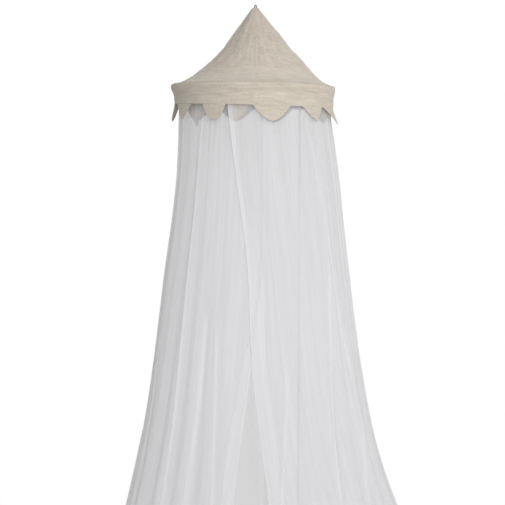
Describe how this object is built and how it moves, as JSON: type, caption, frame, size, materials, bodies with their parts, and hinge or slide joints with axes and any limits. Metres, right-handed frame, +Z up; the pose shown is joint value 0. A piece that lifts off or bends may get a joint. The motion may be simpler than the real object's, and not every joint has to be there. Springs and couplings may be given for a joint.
{
  "type": "mosquito net canopy with hoop",
  "caption": "Hanging bed canopy: a muslin cone over a hoop, a band with scalloped flaps, and a sheer gathered net skirt parted at the front.",
  "frame": {"origin": "where the hook bears inside the hanging loop, at the top of the canopy", "axes": "+Z up along the canopy's axis; -Y is the front, where the net is parted; +X is to the right of someone facing the front"},
  "size_m": [0.9181, 0.8429, 1.6533],
  "materials": {
    "muslin": "crinkled undyed muslin",
    "net": "sheer white polyester tulle",
    "cord": "matte twisted cord",
    "hoop": "smooth moulded ring"
  },
  "bodies": {
    "root": {"hanging_loop": "cord", "cone_top": "muslin", "hoop": "hoop", "band": "muslin", "flap_01": "muslin", "flap_02": "muslin", "flap_03": "muslin", "flap_04": "muslin", "flap_05": "muslin", "flap_06": "muslin", "flap_07": "muslin", "flap_08": "muslin", "flap_09": "muslin", "flap_10": "muslin", "flap_11": "muslin", "flap_12": "muslin", "net": "net"}
  },
  "joints": []
}
